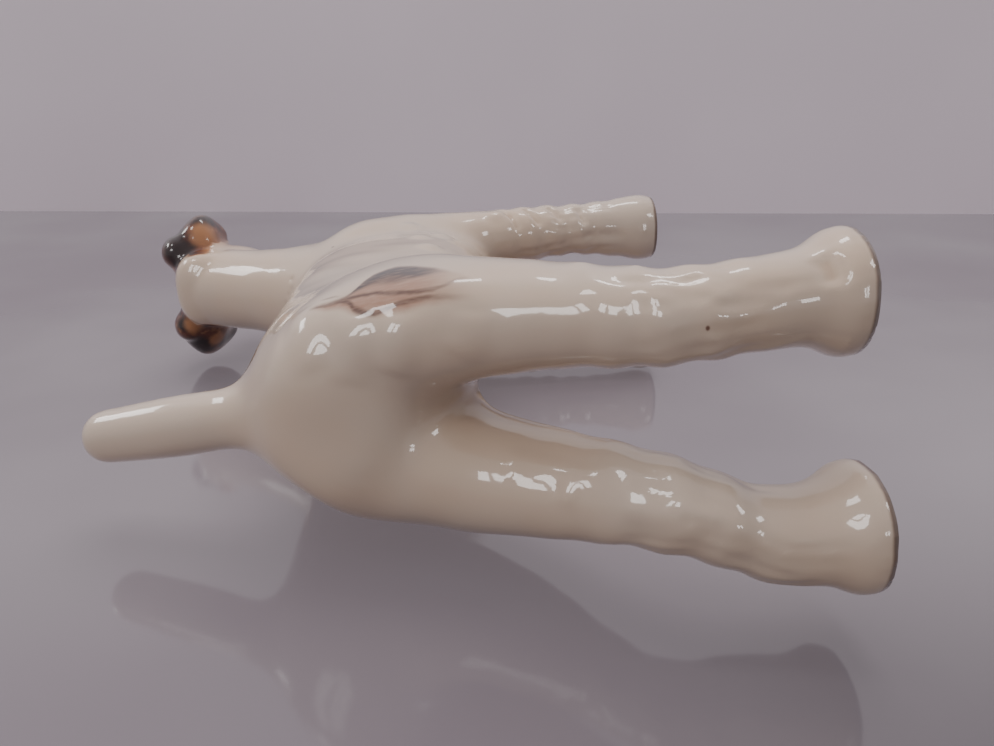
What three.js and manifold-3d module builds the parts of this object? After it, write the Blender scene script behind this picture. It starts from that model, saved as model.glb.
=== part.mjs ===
// Porcelain dog figurine: a standing wire-haired terrier with a docked tail, made as the separate
// castings that are luted together before firing.
//
// Millimetres, Z up from the plane of the four soles, X towards the nose, Y to the dog's left.
// Every form is a loft: rings of points on a few named sections, joined by smooth curves.
import * as THREE from 'three';
import { mergeVertices } from 'three/addons/utils/BufferGeometryUtils.js';
import Module from 'manifold-3d';

const wasm = await Module();
wasm.setup();

// Casting and luting
const wall = 4.2; // thickness of the hollow trunk
const slipFilm = 0.3; // gap that the luting slip fills between two castings
const ventRadius = 3.4; // firing vent under the belly
const ventX = -26;

// Trunk: each section has its place along the back, half width, and top and bottom heights
const backHeight = 109.4;
const rump = { x: -53, halfWidth: 15.5, top: 104.5, bottom: 73, pear: 0.08, square: 2.1 };
const croup = { x: -41, halfWidth: 21.5, top: backHeight, bottom: 64, pear: 0.1, square: 2.1 };
const loin = { x: -18, halfWidth: 21.6, top: backHeight, bottom: 63, pear: 0.05, square: 2.5 };
const ribs = { x: 8, halfWidth: 23, top: backHeight, bottom: 59.5, pear: 0.03, square: 2.9 };
const girth = { x: 34, halfWidth: 23.5, top: 111, bottom: 54.5, pear: 0.05, square: 2.6 };
const shoulder = { x: 56, halfWidth: 22.5, top: 107, bottom: 53.5, pear: 0.06, square: 2.2 };
const forechest = { x: 66.5, halfWidth: 17.5, top: 101, bottom: 59, pear: 0.04, square: 2.1 };
const rumpRounding = 10;
const chestRounding = 14;

// Shoulders and front legs: how thick each level is, from the blade down to the sole
const frontSeamHeight = 50;
const bladeTop = { z: 112, halfLength: 5, halfWidth: 4, coat: 0, toes: 0 };
const blade = { z: 101, halfLength: 13, halfWidth: 10.5, coat: 0, toes: 0 };
const upperArm = { z: 85, halfLength: 16, halfWidth: 11.2, coat: 0, toes: 0 };
const elbow = { z: 66, halfLength: 13.5, halfWidth: 9.8, coat: 0.2, toes: 0 };
const forearm = { z: 52, halfLength: 10.6, halfWidth: 8.4, coat: 0.6, toes: 0 };
const furnishing = { z: 38, halfLength: 9.6, halfWidth: 7.8, coat: 1, toes: 0 };
const knee = { z: 27, halfLength: 8.8, halfWidth: 7.4, coat: 1, toes: 0 };
const pastern = { z: 12, halfLength: 9.8, halfWidth: 9.2, coat: 0.3, toes: 0.3 };
const frontToes = { z: 3.5, halfLength: 11.6, halfWidth: 10.6, coat: 0, toes: 1 };
const frontSole = { z: 0, halfLength: 10.8, halfWidth: 9.8, coat: 0, toes: 0.8 };

// Haunches and hind legs, in the same way
const hindSeamHeight = 47;
const haunchTop = { z: 106, halfLength: 4, halfWidth: 3, coat: 0, toes: 0 };
const hip = { z: 94, halfLength: 14, halfWidth: 10, coat: 0, toes: 0 };
const thigh = { z: 79, halfLength: 18.5, halfWidth: 12.6, coat: 0, toes: 0 };
const stifle = { z: 64, halfLength: 18.5, halfWidth: 11.7, coat: 0, toes: 0 };
const gaskin = { z: 50, halfLength: 14.5, halfWidth: 9.5, coat: 0.4, toes: 0 };
const hock = { z: 37, halfLength: 10.8, halfWidth: 8.1, coat: 0.8, toes: 0 };
const cannon = { z: 24, halfLength: 8.8, halfWidth: 7.5, coat: 0.7, toes: 0 };
const ankle = { z: 14, halfLength: 9, halfWidth: 7.8, coat: 0.2, toes: 0 };
const hindPastern = { z: 7.5, halfLength: 9.6, halfWidth: 8.5, coat: 0, toes: 0.3 };
const hindToes = { z: 2.5, halfLength: 11.6, halfWidth: 10.9, coat: 0, toes: 1 };
const hindSole = { z: 0, halfLength: 11.2, halfWidth: 10.8, coat: 0, toes: 0.8 };

// Where each leg runs: its middle at four or five levels, y measured outwards from the back line
const rightFrontLine = {
  side: -1,
  blade: { z: 112, x: 50, y: 10.5 },
  arm: { z: 92, x: 53, y: 15.2 },
  elbow: { z: 64, x: 61, y: 16.8 },
  knee: { z: 30, x: 68, y: 17.9 },
  foot: { z: 0, x: 71, y: 17 },
};
const leftFrontLine = {
  side: 1,
  blade: { z: 112, x: 50, y: 8 },
  arm: { z: 92, x: 53, y: 15 },
  elbow: { z: 64, x: 59, y: 18 },
  knee: { z: 30, x: 64, y: 19.5 },
  foot: { z: 0, x: 66.5, y: 19.5 },
};
const rightHindLine = {
  side: -1,
  hip: { z: 106, x: -36, y: 8 },
  thigh: { z: 80, x: -37, y: 15 },
  gaskin: { z: 50, x: -49, y: 18 },
  hock: { z: 30, x: -62.5, y: 19.4 },
  ankle: { z: 15, x: -64, y: 21 },
  foot: { z: 0, x: -63, y: 22 },
};
const leftHindLine = {
  side: 1,
  hip: { z: 106, x: -36, y: 8 },
  thigh: { z: 80, x: -37, y: 12.8 },
  gaskin: { z: 50, x: -53, y: 13.6 },
  hock: { z: 30, x: -70.5, y: 11.7 },
  ankle: { z: 15, x: -74.5, y: 16.3 },
  foot: { z: 0, x: -75.2, y: 15.4 },
};

// The coat on the legs hangs in slanting tufts, and the toes are parted by small grooves
const tuftPitch = 8.2;
const tuftDepth = 1.1;
const tuftFrontShare = 0.5; // how much of the tufts shows on the smooth front of a leg
const toeGroove = 1;
const toeSpread = 0.7; // how far forward a point of the ring must lie to be on the toes
const legSquare = 2.15;
const roundSquare = 2; // a true oval, for the neck and the tail

// Neck: leans forward from the seam on the shoulders, and is held slightly to the right
const neckSeam = { x: 55, y: -4, z: 109 };
const neckTop = { x: 74.5, y: -5, z: 150 };
const neckBase = { share: 0, width: 20, depth: 25 };
const neckCollar = { share: 0.3, width: 15.8, depth: 18.5 };
const neckMiddle = { share: 0.62, width: 13.3, depth: 14 };
const neckHead = { share: 1, width: 12.6, depth: 12.5 };
const neckRootDepth = 18; // how far the neck's form runs down into the shoulders
const neckTopRounding = 7;

// Head: a long flat skull with a square bearded muzzle, turned a little to the left
const headY = -5.6;
const headTurn = 0.1; // sideways for each millimetre forward
const occiput = { x: 66, halfWidth: 11.8, top: 156.5, bottom: 137, pear: 0, square: 2.6 };
const skull = { x: 76, halfWidth: 13.6, top: 159.5, bottom: 131, pear: 0.02, square: 2.8 };
const brow = { x: 88, halfWidth: 13, top: 159.5, bottom: 129.5, pear: 0.04, square: 2.8 };
const stop = { x: 95, halfWidth: 10.8, top: 155.5, bottom: 128, pear: 0.08, square: 2.7 };
const muzzle = { x: 105, halfWidth: 9, top: 153, bottom: 126.5, pear: 0.1, square: 2.7 };
const beard = { x: 115, halfWidth: 8.8, top: 151.5, bottom: 123, pear: 0.04, square: 2.5 };
const occiputRounding = 6;
const beardRounding = 5;
const nose = { radius: 3.6, ahead: 3.5, drop: 3.4, stretch: { x: 0.9, y: 1.2, z: 0.9 } };
const eye = { radius: 2.2, ahead: 0.6, out: 8.6, drop: 4.6, stretch: { x: 1, y: 1, z: 1 } };
const eyebrow = { radius: 3.6, ahead: 3.5, out: 7.4, drop: 2.2, stretch: { x: 1.5, y: 1, z: 0.75 } };
const mouthHeight = 139;
const mouthGroove = 0.9;

// Ears: a crest on the corner of the skull, and a flap folded forward from it; each section is
// placed ahead of the skull's own section and below the skull's top
const earCrest = { ahead: 0, out: 12.2, drop: 2.9, radius: 5.9, length: 8 };
const earRoot = { ahead: -5, inner: 7, outer: 16, drop: -0.5, depth: 14, pear: 0.2, square: 2.1 };
const earFold = { ahead: 1, inner: 8, outer: 22.5, drop: -1.5, depth: 15.5, pear: 0.4, square: 2.1 };
const earReach = { ahead: 7, inner: 10, outer: 24.5, drop: -0.5, depth: 14, pear: 0.4, square: 2.1 };
const earFlap = { ahead: 12.5, inner: 12, outer: 22.5, drop: 3.5, depth: 10.5, pear: 0.35, square: 2 };
const earTip = { ahead: 16.5, inner: 13, outer: 19.5, drop: 8, depth: 7, pear: 0.2, square: 2 };
const earRounding = 3.5;
const rightEarDroop = 0.2; // how far the flap drops for each millimetre outwards
const leftEarDroop = -0.12;

// Tail: docked, carried up, leaning forward and a little to the left
const tailRoot = { x: -40.5, y: 0.6, z: 101 };
const tailTip = { x: -30.5, y: 7.5, z: 145.3 };
const tailFlare = { share: 0, width: 10, depth: 10 };
const tailNeck = { share: 0.22, width: 6.9, depth: 6.9 };
const tailMiddle = { share: 0.6, width: 6.3, depth: 6.2 };
const tailEnd = { share: 1, width: 5.4, depth: 5.3 };
const tailTipRounding = 5;
const tailSeamHeight = 112;

// Facets
const trunkSides = 32;
const trunkRings = 20;
const legSides = 24;
const legRings = 24;
const rootRings = 14;
const headSides = 28;
const headRings = 18;
const neckSides = 28;
const neckRings = 9;
const earSides = 16;
const earRings = 7;
const tailSides = 18;
const tailRings = 10;
const hollowSides = 24;
const hollowRings = 10;
const capRings = 4;
const capStart = 0.35; // part of the first cap ring that is left flat
const ballSides = 14;
const ballRings = 8;

const glaze = new THREE.MeshStandardMaterial({ color: 0xd8cbb4, roughness: 0.12, metalness: 0 });
const earGlaze = new THREE.MeshStandardMaterial({ color: 0x4a2412, roughness: 0.14, metalness: 0 });

const xAxis = new THREE.Vector3(1, 0, 0);
const yAxis = new THREE.Vector3(0, 1, 0);
const zAxis = new THREE.Vector3(0, 0, 1);

function toVector(place) {
  return new THREE.Vector3(place.x, place.y, place.z);
}

// Reads a row of named sections as one smooth curve: all their fields are interpolated together.
function smoothCurve(sections, key) {
  const fields = Object.keys(sections[0]).filter((field) => field !== key);
  const direction = sections[sections.length - 1][key] > sections[0][key] ? 1 : -1;
  const keys = sections.map((section) => section[key] * direction);
  const values = sections.flatMap((section) => fields.map((field) => section[field]));
  const curve = new THREE.CubicInterpolant(keys, values, fields.length);
  return (at) => {
    const result = curve.evaluate(at * direction);
    const section = { [key]: at };
    fields.forEach((field, index) => {
      section[field] = result[index];
    });
    return section;
  };
}

// Ring places from start to end, each with its share of the full size: less in a rounded end.
function ringStops(start, end, rings, startRounding, endRounding) {
  const direction = Math.sign(end - start);
  const length = Math.abs(end - start);
  const stops = [];
  const addStop = (along, size) => stops.push({ at: start + direction * along, size });
  const cap = (rounding, place) => {
    for (let ring = 0; ring < capRings; ring += 1) {
      const angle = (Math.PI / 2) * ((ring + capStart) / capRings);
      place(rounding * (1 - Math.cos(angle)), Math.sin(angle));
    }
  };
  if (startRounding > 0) {
    cap(startRounding, addStop);
  }
  for (let ring = 0; ring <= rings; ring += 1) {
    addStop(THREE.MathUtils.lerp(startRounding, length - endRounding, ring / rings), 1);
  }
  if (endRounding > 0) {
    const ending = [];
    cap(endRounding, (along, size) => ending.unshift({ along: length - along, size }));
    ending.forEach(({ along, size }) => addStop(along, size));
  }
  return stops;
}

// One ring: a superellipse about a centre, narrower towards the far side by its pear share.
function ringPoints(centre, across, onward, shape, sides) {
  const points = [];
  const power = 2 / shape.square;
  for (let side = 0; side < sides; side += 1) {
    const angle = (2 * Math.PI * side) / sides;
    const cosine = Math.cos(angle);
    const sine = Math.sin(angle);
    const wide = Math.sign(cosine) * Math.abs(cosine) ** power * (1 - shape.pear * sine);
    const tall = Math.sign(sine) * Math.abs(sine) ** power;
    const point = centre.clone().addScaledVector(across, wide * shape.halfAcross);
    points.push(point.addScaledVector(onward, tall * shape.halfOnward));
  }
  return points;
}

// A closed skin over a row of rings, with a fan over each end.
function skinRings(rings) {
  const sides = rings[0].length;
  const positions = [];
  const faces = [];
  const middleOf = (ring) => {
    const sum = ring.reduce((total, point) => total.add(point), new THREE.Vector3());
    return sum.divideScalar(sides);
  };
  const first = middleOf(rings[0]);
  const last = middleOf(rings[rings.length - 1]);
  rings.flat().forEach((point) => positions.push(point.x, point.y, point.z));
  positions.push(first.x, first.y, first.z, last.x, last.y, last.z);
  const firstCentre = rings.length * sides;
  const lastCentre = firstCentre + 1;
  const lastRing = (rings.length - 1) * sides;
  for (let side = 0; side < sides; side += 1) {
    const next = (side + 1) % sides;
    for (let ring = 0; ring < rings.length - 1; ring += 1) {
      const low = ring * sides;
      const high = low + sides;
      faces.push(low + side, low + next, high + next);
      faces.push(low + side, high + next, high + side);
    }
    faces.push(firstCentre, next, side);
    faces.push(lastCentre, lastRing + side, lastRing + next);
  }
  const geometry = new THREE.BufferGeometry();
  geometry.setAttribute('position', new THREE.Float32BufferAttribute(positions, 3));
  geometry.setIndex(faces);
  return geometry;
}

// A closed mesh as a solid, turned so that its faces point outwards.
function toSolid(geometry) {
  const bare = geometry.clone();
  bare.deleteAttribute('normal');
  bare.deleteAttribute('uv');
  const merged = mergeVertices(bare);
  const vertProperties = new Float32Array(merged.attributes.position.array);
  const triVerts = Uint32Array.from(merged.index.array);
  const solid = new wasm.Manifold(new wasm.Mesh({ numProp: 3, vertProperties, triVerts }));
  if (solid.volume() > 0) {
    return solid;
  }
  const turned = triVerts.map((corner, index) => triVerts[index + 2 - 2 * (index % 3)]);
  return new wasm.Manifold(new wasm.Mesh({ numProp: 3, vertProperties, triVerts: turned }));
}

function toGeometry(solid) {
  const mesh = solid.getMesh();
  const geometry = new THREE.BufferGeometry();
  geometry.setAttribute('position', new THREE.Float32BufferAttribute(mesh.vertProperties, 3));
  geometry.setIndex(Array.from(mesh.triVerts));
  geometry.computeVertexNormals();
  return geometry;
}

// Everything on the far side of a plane, as a block that is larger than the dog.
function beyondPlane(point, normal) {
  const size = 4 * backHeight;
  const block = new THREE.BoxGeometry(size, size, size);
  block.translate(0, 0, size / 2);
  block.applyQuaternion(new THREE.Quaternion().setFromUnitVectors(zAxis, normal));
  block.translate(point.x, point.y, point.z);
  return toSolid(block);
}

// A form whose rings stand upright across the dog, about a middle line that may turn aside.
function lengthwiseForm(sections, options) {
  const { start, end, startRounding, endRounding, lineAt, inset, sides, rings } = options;
  const curve = smoothCurve(sections, 'x');
  const stops = ringStops(start + inset, end - inset, rings, startRounding, endRounding);
  const skins = stops.map(({ at, size }) => {
    const section = curve(at);
    const centre = new THREE.Vector3(at, lineAt(at), (section.top + section.bottom) / 2);
    const halfAcross = (section.halfWidth - inset) * size;
    const halfOnward = ((section.top - section.bottom) / 2 - inset) * size;
    return ringPoints(centre, yAxis, zAxis, { ...section, halfAcross, halfOnward }, sides);
  });
  return toSolid(skinRings(skins));
}

// The trunk, or with an inset the hollow inside it.
function trunkForm(inset, sides, rings) {
  return lengthwiseForm([rump, croup, loin, ribs, girth, shoulder, forechest], {
    start: rump.x - rumpRounding / 2,
    end: forechest.x + chestRounding,
    startRounding: rumpRounding,
    endRounding: chestRounding,
    lineAt: () => 0,
    inset,
    sides,
    rings,
  });
}

// How far a point of a leg's ring stands out: tufts that slant round the leg, and the toes.
function coatRelief(section, z, turn, forwards) {
  const tuft = Math.abs(Math.sin(Math.PI * (z / tuftPitch + turn)));
  const hanging = 1 - (1 - tuftFrontShare) * Math.max(0, forwards);
  const toes = forwards > toeSpread ? Math.cos(Math.PI * turn * legSides) : 0;
  return section.coat * tuftDepth * tuft * hanging - section.toes * toeGroove * Math.max(0, toes);
}

// A form whose rings lie level about a leg's line, from one height down to another.
function legForm(line, girths, top, bottom, rings) {
  const { side, ...places } = line;
  const lineCurve = smoothCurve(Object.values(places), 'z');
  const girthCurve = smoothCurve(girths, 'z');
  const skins = [];
  for (let ring = 0; ring <= rings; ring += 1) {
    const z = THREE.MathUtils.lerp(top, bottom, ring / rings);
    const place = lineCurve(z);
    const section = girthCurve(z);
    const centre = new THREE.Vector3(place.x, side * place.y, z);
    const shape = { halfAcross: section.halfLength, halfOnward: section.halfWidth };
    const points = ringPoints(centre, xAxis, yAxis, { ...shape, pear: 0, square: legSquare }, legSides);
    points.forEach((point, index) => {
      const outward = point.clone().sub(centre).normalize();
      const turn = (side * index) / legSides;
      point.addScaledVector(outward, coatRelief(section, z, turn, outward.x));
    });
    skins.push(points);
  }
  return toSolid(skinRings(skins));
}

const frontGirths = [
  bladeTop, blade, upperArm, elbow, forearm, furnishing, knee, pastern, frontToes, frontSole,
];
const hindGirths = [
  haunchTop, hip, thigh, stifle, gaskin, hock, cannon, ankle, hindPastern, hindToes, hindSole,
];
const legs = [
  { name: 'right_front_leg', line: rightFrontLine, girths: frontGirths, seam: frontSeamHeight },
  { name: 'left_front_leg', line: leftFrontLine, girths: frontGirths, seam: frontSeamHeight },
  { name: 'right_hind_leg', line: rightHindLine, girths: hindGirths, seam: hindSeamHeight },
  { name: 'left_hind_leg', line: leftHindLine, girths: hindGirths, seam: hindSeamHeight },
];

function legCasting({ line, girths, seam }) {
  return legForm(line, girths, seam - slipFilm, 0, legRings);
}

// The shoulder or haunch, which belongs to the trunk's casting.
function legRoot({ line, girths, seam }) {
  return legForm(line, girths, girths[0].z, seam, rootRings);
}

// A round form along a straight axis, stouter all round by its spare: the neck and the tail.
function axialForm(from, to, sections, options) {
  const { sides, rings, endRounding, spare } = options;
  const start = toVector(from);
  const axis = toVector(to).sub(start);
  const length = axis.length();
  axis.normalize();
  const across = new THREE.Vector3().crossVectors(axis, xAxis).normalize();
  const foreAndAft = new THREE.Vector3().crossVectors(across, axis).normalize();
  const curve = smoothCurve(sections, 'share');
  const skins = ringStops(0, length, rings, 0, endRounding).map(({ at, size }) => {
    const section = curve(at / length);
    const centre = start.clone().addScaledVector(axis, at);
    const halfAcross = section.width * size + spare;
    const halfOnward = section.depth * size + spare;
    const shape = { halfAcross, halfOnward, pear: 0, square: roundSquare };
    return ringPoints(centre, across, foreAndAft, shape, sides);
  });
  return toSolid(skinRings(skins));
}

const neckAxis = toVector(neckTop).sub(toVector(neckSeam)).setY(0).normalize();

function neckRoot() {
  return toVector(neckSeam).addScaledVector(neckAxis, -neckRootDepth);
}

function neckForm(spare = 0) {
  const options = { sides: neckSides, rings: neckRings, endRounding: neckTopRounding, spare };
  return axialForm(neckRoot(), neckTop, [neckBase, neckCollar, neckMiddle, neckHead], options);
}

function headLine(x) {
  return headY + headTurn * (x - occiput.x);
}

function headForm(inset) {
  return lengthwiseForm([occiput, skull, brow, stop, muzzle, beard], {
    start: occiput.x - occiputRounding,
    end: beard.x + beardRounding,
    startRounding: occiputRounding,
    endRounding: beardRounding,
    lineAt: headLine,
    inset,
    sides: headSides,
    rings: headRings,
  });
}

function ball(radius, x, out, z, stretch) {
  const sphere = new THREE.SphereGeometry(radius, ballSides, ballRings);
  sphere.scale(stretch.x, stretch.y, stretch.z);
  sphere.translate(x, headLine(x) + out, z);
  return toSolid(sphere);
}

// A rounded feature placed from a section of the head: ahead of it, and down from its top.
function feature(shape, section, out) {
  return ball(shape.radius, section.x + shape.ahead, out, section.top - shape.drop, shape.stretch);
}

function faceFeatures() {
  let features = feature(nose, beard, 0);
  [-1, 1].forEach((side) => {
    features = features.add(feature(eye, stop, side * eye.out));
    features = features.add(feature(eyebrow, brow, side * eyebrow.out));
  });
  return features;
}

// The closed mouth: a shallow groove round the front of the muzzle.
function mouth() {
  const slab = new THREE.BoxGeometry(beard.x - stop.x + 2 * beardRounding, backHeight, mouthGroove);
  slab.translate(beard.x, 0, mouthHeight);
  return toSolid(slab).subtract(headForm(mouthGroove));
}

// An ear: a crest on the corner of the skull, and the flap that is folded forward from it.
function earForm(side, droop) {
  const curve = smoothCurve([earRoot, earFold, earReach, earFlap, earTip], 'ahead');
  const stops = ringStops(earRoot.ahead, earTip.ahead, earRings, earRounding, earRounding);
  const outward = new THREE.Vector3(0, side, -droop);
  const skins = stops.map(({ at, size }) => {
    const section = curve(at);
    const x = skull.x + at;
    const out = (section.inner + section.outer) / 2;
    const z = skull.top - section.drop - section.depth / 2 - droop * (out - section.inner);
    const centre = new THREE.Vector3(x, headLine(x) + side * out, z);
    const halfAcross = (section.depth / 2) * size;
    const halfOnward = ((section.outer - section.inner) / 2) * size;
    return ringPoints(centre, zAxis, outward, { ...section, halfAcross, halfOnward }, earSides);
  });
  const stretch = { x: earCrest.length / earCrest.radius, y: 1, z: 1 };
  const crest = feature({ ...earCrest, stretch }, skull, side * earCrest.out);
  const ear = toSolid(skinRings(skins)).add(crest);
  return ear.subtract(headForm(-slipFilm)).subtract(neckForm(slipFilm));
}

function tailForm() {
  const options = { sides: tailSides, rings: tailRings, endRounding: tailTipRounding, spare: 0 };
  return axialForm(tailRoot, tailTip, [tailFlare, tailNeck, tailMiddle, tailEnd], options);
}

// A tube straight up through the belly into the hollow of the trunk.
function ventHole() {
  const vent = new THREE.CylinderGeometry(ventRadius, ventRadius, 4 * wall, hollowSides);
  vent.rotateX(Math.PI / 2);
  vent.translate(ventX, 0, loin.bottom);
  return toSolid(vent);
}

function torsoCasting() {
  const neckSeat = toVector(neckSeam).addScaledVector(neckAxis, -slipFilm / 2);
  const neckRoom = beyondPlane(neckSeat, neckAxis);
  const tailSeat = toVector(tailRoot).setZ(tailSeamHeight - slipFilm / 2);
  let body = trunkForm(0, trunkSides, trunkRings);
  legs.forEach((leg) => {
    body = body.add(legRoot(leg));
  });
  body = body.add(neckForm()).subtract(neckRoom.intersect(neckForm()));
  body = body.add(tailForm().subtract(beyondPlane(tailSeat, zAxis)));
  body = body.subtract(trunkForm(wall, hollowSides, hollowRings));
  return body.subtract(ventHole());
}

function headNeckCasting() {
  const seat = toVector(neckSeam).addScaledVector(neckAxis, slipFilm / 2);
  const neck = neckForm().intersect(beyondPlane(seat, neckAxis));
  return neck.add(headForm(0).subtract(mouth())).add(faceFeatures());
}

function tailCasting() {
  const seat = toVector(tailRoot).setZ(tailSeamHeight + slipFilm / 2);
  return tailForm().intersect(beyondPlane(seat, zAxis));
}

function piece(name, solid, material) {
  const mesh = new THREE.Mesh(toGeometry(solid), material);
  mesh.name = name;
  return mesh;
}

const dog = new THREE.Group();
dog.add(piece('torso_casting', torsoCasting(), glaze));
dog.add(piece('head_neck_casting', headNeckCasting(), glaze));
dog.add(piece('right_ear', earForm(-1, rightEarDroop), earGlaze));
dog.add(piece('left_ear', earForm(1, leftEarDroop), earGlaze));
dog.add(piece('tail', tailCasting(), glaze));
legs.forEach((leg) => {
  dog.add(piece(leg.name, legCasting(leg), glaze));
});

// The origin lies on the sole plane, under the middle of the dog's box.
const middle = new THREE.Box3().setFromObject(dog).getCenter(new THREE.Vector3());
dog.position.set(-middle.x, -middle.y, 0);

export default dog;
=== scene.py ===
import math

import bmesh
import bpy
import numpy as np
from bpy.props import FloatProperty, FloatVectorProperty, IntProperty, PointerProperty
from mathutils import Matrix, Vector
from mathutils.bvhtree import BVHTree


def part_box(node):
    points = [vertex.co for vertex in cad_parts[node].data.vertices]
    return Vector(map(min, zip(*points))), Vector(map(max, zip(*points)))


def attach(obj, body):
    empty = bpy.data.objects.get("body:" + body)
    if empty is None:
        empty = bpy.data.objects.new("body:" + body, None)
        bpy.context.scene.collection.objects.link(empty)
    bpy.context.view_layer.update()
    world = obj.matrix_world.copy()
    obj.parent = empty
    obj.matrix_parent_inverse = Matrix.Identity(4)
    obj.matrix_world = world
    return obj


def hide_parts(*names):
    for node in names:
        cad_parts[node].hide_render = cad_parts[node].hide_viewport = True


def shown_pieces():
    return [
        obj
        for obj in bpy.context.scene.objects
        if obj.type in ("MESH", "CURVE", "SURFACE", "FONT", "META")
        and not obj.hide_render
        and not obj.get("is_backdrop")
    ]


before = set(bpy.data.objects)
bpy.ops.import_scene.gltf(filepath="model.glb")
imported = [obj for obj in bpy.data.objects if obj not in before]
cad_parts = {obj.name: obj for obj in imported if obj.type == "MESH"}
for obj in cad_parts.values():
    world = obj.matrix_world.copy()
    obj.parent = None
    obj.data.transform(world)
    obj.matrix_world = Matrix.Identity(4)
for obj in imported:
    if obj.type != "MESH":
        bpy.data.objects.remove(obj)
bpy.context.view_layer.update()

bl_info = {
    "name": "Porcelain terrier figurine",
    "version": (1, 0, 0),
    "blender": (4, 5, 0),
    "location": "View3D > Sidebar > Figurine",
    "description": "Glazed and painted porcelain dog, cast in pieces and luted together",
    "category": "Add Mesh",
}

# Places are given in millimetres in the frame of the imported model: X towards the nose, Y to the
# dog's left, Z up from the soles. A list marked as measured holds places that another program worked
# out: it cast pixels read by eye in the photograph through the fitted camera, onto the model.
MM = 0.001


def spot(x, y, z):
    return Vector((x, y, z)) * MM


# Seams between the castings, halfway through the film of slip
SLIP_FILM = 0.3 * MM
FRONT_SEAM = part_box("right_front_leg")[1].z + SLIP_FILM / 2
HIND_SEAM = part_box("right_hind_leg")[1].z + SLIP_FILM / 2
TAIL_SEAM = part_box("tail")[0].z - SLIP_FILM / 2
NECK_SEAM = spot(37.5, -2.64, 109)
NECK_LEAN = Vector((0.4295, 0, 0.9031)).normalized()
BELLY_VENT = spot(-43.5, 1.36, 64)
CROTCH = spot(-62, 0, 66)
TAIL_ROOT = spot(-58, 2, 108)

# The head is turned a little to the left about the back of the skull. Places on it are counted
# ahead from a plane that lies SKULL_AHEAD millimetres behind the back of the skull.
SKULL_HEIGHT = 146
SKULL_BACK = spot(48.5, -4.24, SKULL_HEIGHT)
SKULL_AHEAD = 17.5
HEAD_TURN = 0.1

# The ears part from the skull this far out, and hang no lower than their floor
EAR_SEAM_OUT = 13.9 * MM
EAR_FLOOR = 139 * MM


def head_spot(ahead, out, height):
    """A place on the head: ahead of that plane, out from the middle line, and its height."""
    ahead -= SKULL_AHEAD
    return SKULL_BACK + spot(ahead, out + HEAD_TURN * ahead, height - SKULL_HEIGHT)


# The clay form, shared by the operators
FORM_NAME = "dog_clay"
SOLE_HEIGHT = 0.5 * MM
LEGS = ("right_front_leg", "left_front_leg", "right_hind_leg", "left_hind_leg")


class ClayProperties(bpy.types.PropertyGroup):
    """How finely the clay is modelled and fettled."""

    grain: FloatProperty(
        name="Grain", description="Spacing of the points of the modelled clay",
        default=0.8 * MM, min=0.5 * MM, max=3 * MM, subtype="DISTANCE", unit="LENGTH",
    )
    coarse: FloatProperty(
        name="Coarse grain", description="Spacing of the points while the body's creases are filled",
        default=2 * MM, min=1 * MM, max=5 * MM, subtype="DISTANCE", unit="LENGTH",
    )
    fettling: IntProperty(
        name="Fettling", description="Rounds of sponging that even the clay out without shrinking it",
        default=110, min=0, max=400,
    )
    sponging: IntProperty(
        name="Sponging", description="Rounds of wiping that take the last facets off the body",
        default=70, min=0, max=400,
    )
    fillet: FloatProperty(
        name="Fillet", description="Radius to which the creases between the body's forms are filled",
        default=45 * MM, min=1 * MM, max=100 * MM, subtype="DISTANCE", unit="LENGTH",
    )
    creases: IntProperty(
        name="Crease filling", description="Rounds of filling where two forms meet",
        default=500, min=0, max=2000,
    )
    swell: FloatProperty(
        name="Swell", description="Height of the soft waves that modelling by hand leaves",
        default=0.08 * MM, min=0, max=1 * MM, subtype="DISTANCE", unit="LENGTH",
    )
    tooling: FloatProperty(
        name="Tooling", description="How deep the modelling tool goes, as a share of its full depth",
        default=1.0, min=0, max=2, subtype="FACTOR",
    )


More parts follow.
